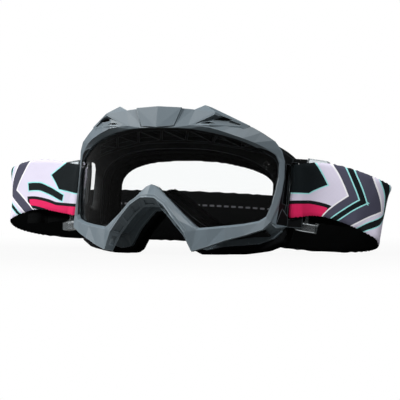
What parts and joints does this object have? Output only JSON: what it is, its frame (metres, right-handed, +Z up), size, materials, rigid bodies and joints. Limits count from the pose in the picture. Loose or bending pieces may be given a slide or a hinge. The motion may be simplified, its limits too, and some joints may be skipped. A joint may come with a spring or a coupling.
{
  "type": "off-road goggles",
  "caption": "Off-road goggles with a vented moulded frame, clear cylindrical lens, layered face foam and a printed elastic strap on clear sliders.",
  "frame": {"origin": "centre of the bounding box's bottom, on the surface that the goggles stand on", "axes": "+X towards the wearer's left, +Y from the lens towards the face, +Z up; the frame leans back 10 degrees on its foam"},
  "size_m": [0.3428, 0.1234, 0.1121],
  "materials": {
    "frame_plastic": "satin matte moulding",
    "brow_plastic": "satin",
    "lens_clear": "polished, clear",
    "post_clear": "polished, clear",
    "filter_foam": "open-cell foam",
    "mesh": "fine dark mesh",
    "firm_foam": "closed-cell foam",
    "soft_foam": "soft foam",
    "fleece": "brushed fleece",
    "strap_fabric": "printed elastic webbing",
    "tail_fabric": "black elastic webbing",
    "thread": "sewing thread",
    "silicone": "satin silicone",
    "slider_clear": "clear moulding"
  },
  "bodies": {
    "goggle": {"frame": "frame_plastic", "brow_plate": "brow_plastic", "lens": "lens_clear", "tear_off_post_right": "post_clear", "tear_off_post_left": "post_clear", "vent_foam_top": "filter_foam", "vent_foam_bottom_right": "filter_foam", "vent_foam_bottom_left": "filter_foam", "scoop_mesh_right": "mesh", "scoop_mesh_left": "mesh", "face_foam_base": "firm_foam", "face_foam_mid": "soft_foam", "face_fleece": "fleece", "strap": "strap_fabric", "strap_tail_right": "tail_fabric", "strap_tail_left": "tail_fabric", "strap_stitches": "thread", "silicone_beads": "silicone"},
    "adjuster_right": {"adjuster_right": "slider_clear"},
    "adjuster_left": {"adjuster_left": "slider_clear"}
  },
  "joints": [
    {"name": "adjuster_right_slide", "type": "slide", "parent": "goggle", "child": "adjuster_right", "axis": [0.9816, 0.1305, -0.1398], "range_m": [0, 0.014]},
    {"name": "adjuster_left_slide", "type": "slide", "parent": "goggle", "child": "adjuster_left", "axis": [-0.9816, 0.1305, -0.1398], "range_m": [-0.005, 0.008]}
  ]
}
